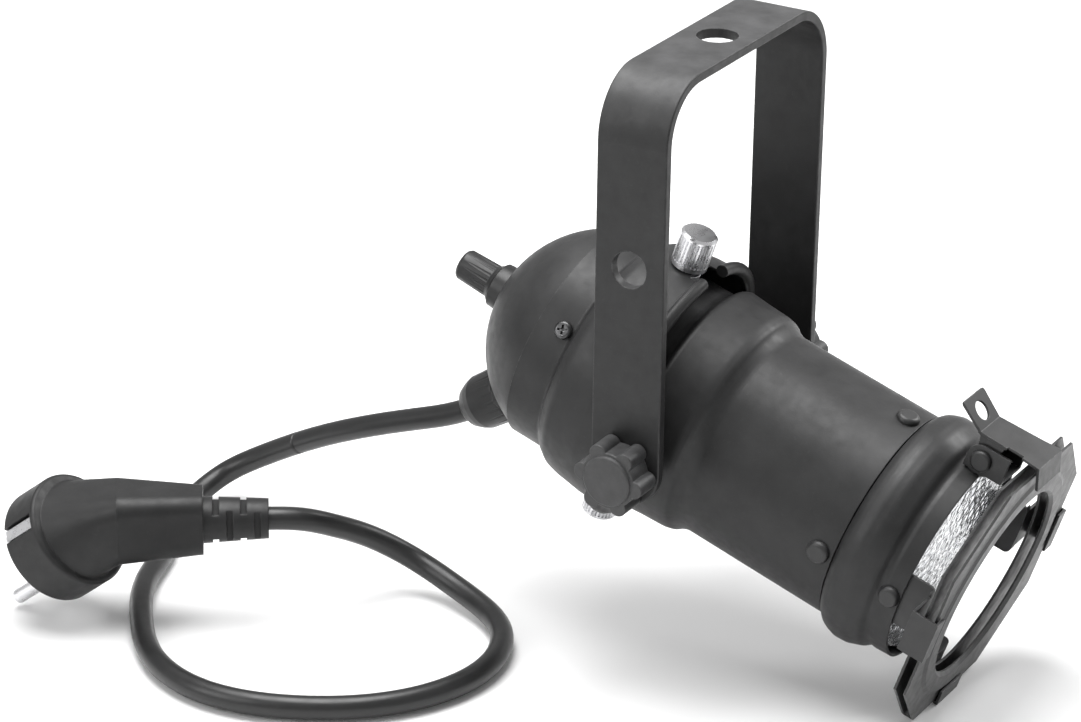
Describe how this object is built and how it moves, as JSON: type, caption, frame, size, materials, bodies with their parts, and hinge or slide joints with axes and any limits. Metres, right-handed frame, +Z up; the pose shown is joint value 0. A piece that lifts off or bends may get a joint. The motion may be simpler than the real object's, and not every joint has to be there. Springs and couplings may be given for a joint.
{
  "type": "par can light",
  "caption": "Small black par can light with tilting yoke, star knobs, gel frame under a latch, detachable rear housing and a mains lead with angled plug.",
  "frame": {"origin": "centre of the hanging hole on the upper face of the yoke", "axes": "+Z up, X along the tilt axis, beam towards -Y"},
  "size_m": [0.189, 0.3143, 0.1957],
  "materials": {
    "yoke_paint": "satin black powder coat",
    "can_paint": "satin black powder coat",
    "fastener_black": "satin black",
    "steel": "zinc plated",
    "bright": "nickel plated",
    "black_plastic": "moulded, fine grain",
    "rubber": "matt",
    "brass": "bright",
    "lens_glass": "moulded facets",
    "reflector": "aluminised",
    "capsule_glass": "clear",
    "porcelain": "unglazed porcelain",
    "core_brown": "satin",
    "core_blue": "satin",
    "core_earth": "satin"
  },
  "bodies": {
    "yoke": {"yoke": "yoke_paint"},
    "front_barrel": {"front_barrel": "can_paint", "front_ring": "can_paint", "barrel_rivets": "fastener_black", "ring_rivets": "fastener_black", "frame_clips": "fastener_black", "latch_base": "fastener_black", "latch_pin": "fastener_black", "pivot_spacers": "fastener_black", "pivot_bolts": "steel", "nut_studs": "steel", "stud_spacers": "steel"},
    "gel_frame": {"gel_frame": "fastener_black"},
    "frame_latch": {"frame_latch": "fastener_black"},
    "knob_washer_left": {"knob_washer_left": "steel"},
    "knob_washer_right": {"knob_washer_right": "steel"},
    "star_knob_left": {"star_knob_left": "black_plastic"},
    "star_knob_right": {"star_knob_right": "black_plastic"},
    "thumb_nut_top": {"thumb_nut_top": "bright"},
    "thumb_nut_bottom": {"thumb_nut_bottom": "bright"},
    "rear_housing": {"rear_shell": "can_paint", "rear_cap": "can_paint", "shell_screws": "bright", "fuse_holder": "black_plastic", "fuse_nut": "steel", "fuse_tags": "brass", "gland_gasket": "rubber", "gland_body": "black_plastic", "gland_locknut": "black_plastic", "gland_seal": "rubber", "socket_bracket": "steel", "lamp_holder": "porcelain", "holder_shell": "brass", "holder_contact": "brass", "holder_screws": "steel", "terminal_block": "porcelain", "terminal_screws": "steel", "earth_screw": "steel", "wire_live": "core_brown", "wire_neutral": "core_blue", "wire_earth": "core_earth", "lamp_reflector": "reflector", "lamp_lens": "lens_glass", "lamp_capsule": "capsule_glass", "lamp_base": "brass"},
    "fuse_carrier": {"fuse_carrier": "black_plastic", "fuse": "capsule_glass"},
    "fuse_cap": {"fuse_cap": "black_plastic"},
    "gland_nut": {"gland_nut": "black_plastic"},
    "power_lead": {"power_cable": "rubber", "plug_body": "rubber", "plug_pins": "bright", "plug_earth_strips": "bright"}
  },
  "joints": [
    {"name": "tilt", "type": "hinge", "parent": "yoke", "child": "front_barrel", "pos_m": [0, 0, -0.121], "axis": [-1, 0, 0], "range_deg": [-60, 48]},
    {"name": "rear_release", "type": "slide", "parent": "front_barrel", "child": "rear_housing", "axis": [0, 0.9494, 0.314], "range_m": [0, 0.11]},
    {"name": "lead_bend", "type": "hinge", "parent": "rear_housing", "child": "power_lead", "pos_m": [0, 0.08562, -0.1418], "axis": [-1, 0, 0], "range_deg": [-48, 60], "deforming": ["power_cable"]},
    {"name": "knob_travel_left", "type": "slide", "parent": "front_barrel", "child": "knob_washer_left", "axis": [-1, 0, 0], "range_m": [0, 0.0031]},
    {"name": "knob_turn_left", "type": "hinge", "parent": "knob_washer_left", "child": "star_knob_left", "pos_m": [0, 0, -0.121], "axis": [-1, 0, 0], "range_deg": [0, 1080]},
    {"name": "knob_travel_right", "type": "slide", "parent": "front_barrel", "child": "knob_washer_right", "axis": [1, 0, 0], "range_m": [0, 0.0031]},
    {"name": "knob_turn_right", "type": "hinge", "parent": "knob_washer_right", "child": "star_knob_right", "pos_m": [0, 0, -0.121], "axis": [1, 0, 0], "range_deg": [0, 1080]},
    {"name": "nut_turn_top", "type": "hinge", "parent": "front_barrel", "child": "thumb_nut_top", "pos_m": [0, 0.00628, -0.07153], "axis": [0, -0.314, 0.9494], "range_deg": [0, 720]},
    {"name": "nut_turn_bottom", "type": "hinge", "parent": "front_barrel", "child": "thumb_nut_bottom", "pos_m": [0, 0.03454, -0.15697], "axis": [0, 0.314, -0.9494], "range_deg": [0, 720]},
    {"name": "latch_lift", "type": "hinge", "parent": "front_barrel", "child": "frame_latch", "pos_m": [0, -0.0956, -0.11154], "axis": [-1, 0, 0], "range_deg": [0, 46]},
    {"name": "gel_frame_lift", "type": "slide", "parent": "front_barrel", "child": "gel_frame", "axis": [0, -0.314, 0.9494], "range_m": [0, 0.003]},
    {"name": "fuse_pull", "type": "slide", "parent": "rear_housing", "child": "fuse_carrier", "axis": [0, 0.9494, 0.314], "range_m": [0, 0.03]},
    {"name": "fuse_cap_turn", "type": "hinge", "parent": "fuse_carrier", "child": "fuse_cap", "pos_m": [0, 0.0807, -0.09431], "axis": [0, 0.9494, 0.314], "range_deg": [0, 90]},
    {"name": "gland_nut_turn", "type": "hinge", "parent": "rear_housing", "child": "gland_nut", "pos_m": [0, 0.08562, -0.1418], "axis": [0, 0.8415, -0.5402], "range_deg": [0, 720]}
  ],
  "couplings": [
    {"joint": "lead_bend", "follows": "tilt", "ratio": -1},
    {"joint": "knob_travel_left", "follows": "knob_turn_left", "m_per_rad": 0.00015915},
    {"joint": "knob_travel_right", "follows": "knob_turn_right", "m_per_rad": 0.00015915}
  ]
}
